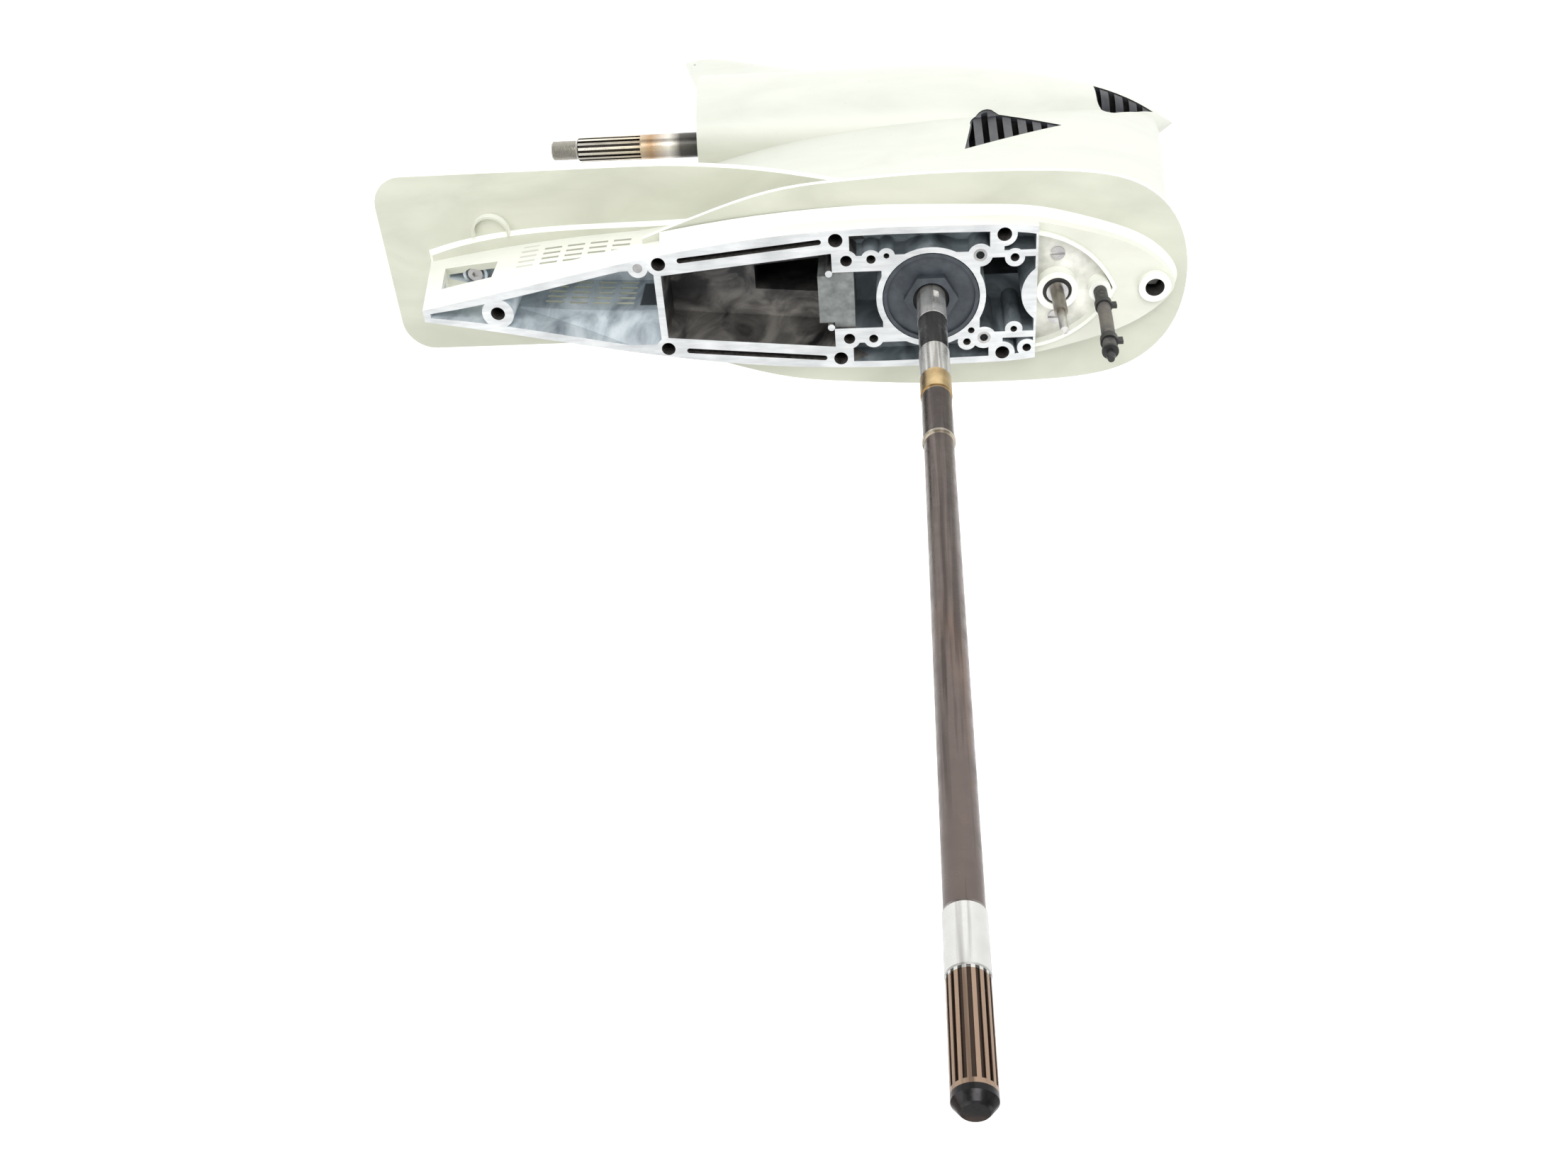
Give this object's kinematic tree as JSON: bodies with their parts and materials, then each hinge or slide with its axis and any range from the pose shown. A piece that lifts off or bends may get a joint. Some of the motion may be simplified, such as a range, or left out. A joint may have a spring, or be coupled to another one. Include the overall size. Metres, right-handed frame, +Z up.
{
  "type": "outboard lower unit",
  "caption": "Outboard motor lower unit: white gearcase with skeg and plates, open mating face, long drive shaft, splined propeller shaft, bevel gears, dog clutch and shift shaft.",
  "frame": {"origin": "on the drive shaft's axis, in the plane of the machined mating face", "axes": "+Z up along the drive shaft, +X forward (bow), +Y to port"},
  "size_m": [0.733, 0.1944, 1.359],
  "materials": {
    "cast_paint": "white paint over cast aluminium, machined on top",
    "dark_screen": "moulded black",
    "ground_steel": "ground and polished",
    "bronze": "turned",
    "bearing_steel": "ground",
    "dark_moulding": "moulded slate",
    "seal_rubber": "matt",
    "gear_steel": "machined",
    "cast_aluminium": "cast",
    "hose_rubber": "matt",
    "black_plastic": "moulded",
    "grey_block": "moulded"
  },
  "bodies": {
    "drive_line": {"drive_shaft": "ground_steel", "drive_shaft_collar": "bronze", "drive_shaft_bearing_cone": "bearing_steel", "pinion_gear": "gear_steel", "pinion_nut": "gear_steel"},
    "forward_gear_set": {"forward_gear": "gear_steel", "forward_gear_bush": "bronze", "forward_bearing_cone": "bearing_steel"},
    "reverse_gear_set": {"reverse_gear": "gear_steel", "reverse_bearing_cone": "bearing_steel"},
    "propeller_line": {"propeller_shaft": "ground_steel"},
    "dog_set": {"clutch_dog": "gear_steel", "dog_cross_pin": "gear_steel", "dog_pin_spring": "gear_steel", "shift_plunger": "gear_steel"},
    "shift_line": {"shift_shaft": "ground_steel", "shift_cam": "gear_steel"},
    "follower_set": {"shift_follower": "gear_steel"},
    "root": {"gearcase_casting": "cast_paint", "port_side_intake_screen": "dark_screen", "starboard_side_intake_screen": "dark_screen", "port_nose_intake_screen": "dark_screen", "starboard_nose_intake_screen": "dark_screen", "drive_shaft_bearing_cup": "bearing_steel", "bearing_lock_nut": "bearing_steel", "seal_carrier": "dark_moulding", "drive_shaft_seal": "seal_rubber", "pinion_bearing": "bearing_steel", "forward_bearing_cup": "bearing_steel", "reverse_bearing_cup": "bearing_steel", "bearing_carrier": "cast_aluminium", "carrier_ring_nut": "cast_aluminium", "front_needle_bearing": "bearing_steel", "rear_needle_bearing": "bearing_steel", "propeller_shaft_seals": "seal_rubber", "shift_shaft_bush": "ground_steel", "shift_shaft_seal": "seal_rubber", "speedometer_hose": "hose_rubber", "hose_ties": "black_plastic", "hose_nipple": "black_plastic", "divider_block": "grey_block", "nose_plugs": "ground_steel", "front_bolt": "ground_steel", "face_screw": "ground_steel", "locating_dowels": "ground_steel", "trim_tab": "cast_aluminium", "trim_tab_bolt": "ground_steel", "drain_plug": "ground_steel", "vent_plug": "ground_steel"}
  },
  "joints": [
    {"name": "drive_spin", "type": "hinge", "parent": "root", "child": "drive_line", "pos_m": [0, 0, 0], "axis": [0, 0, 1], "continuous": true},
    {"name": "forward_gear_spin", "type": "hinge", "parent": "root", "child": "forward_gear_set", "pos_m": [0, 0, -0.35], "axis": [1, 0, 0], "continuous": true},
    {"name": "reverse_gear_spin", "type": "hinge", "parent": "root", "child": "reverse_gear_set", "pos_m": [0, 0, -0.35], "axis": [1, 0, 0], "continuous": true},
    {"name": "propeller_spin", "type": "hinge", "parent": "root", "child": "propeller_line", "pos_m": [0, 0, -0.35], "axis": [1, 0, 0], "continuous": true},
    {"name": "dog_slide", "type": "slide", "parent": "propeller_line", "child": "dog_set", "axis": [-1, 0, 0], "range_m": [0, 0.005]},
    {"name": "shift_turn", "type": "hinge", "parent": "root", "child": "shift_line", "pos_m": [0.1038, 0, 0], "axis": [0, 0, 1], "range_deg": [0, 28.95]},
    {"name": "follower_slide", "type": "slide", "parent": "root", "child": "follower_set", "axis": [-1, 0, 0], "range_m": [0, 0.005]}
  ],
  "couplings": [
    {"joint": "forward_gear_spin", "follows": "drive_spin", "ratio": -0.56},
    {"joint": "reverse_gear_spin", "follows": "drive_spin", "ratio": 0.56},
    {"joint": "propeller_spin", "follows": "drive_spin", "ratio": -0.56},
    {"joint": "dog_slide", "follows": "follower_slide", "ratio": 1},
    {"joint": "shift_turn", "follows": "follower_slide", "rad_per_m": 101.07}
  ]
}
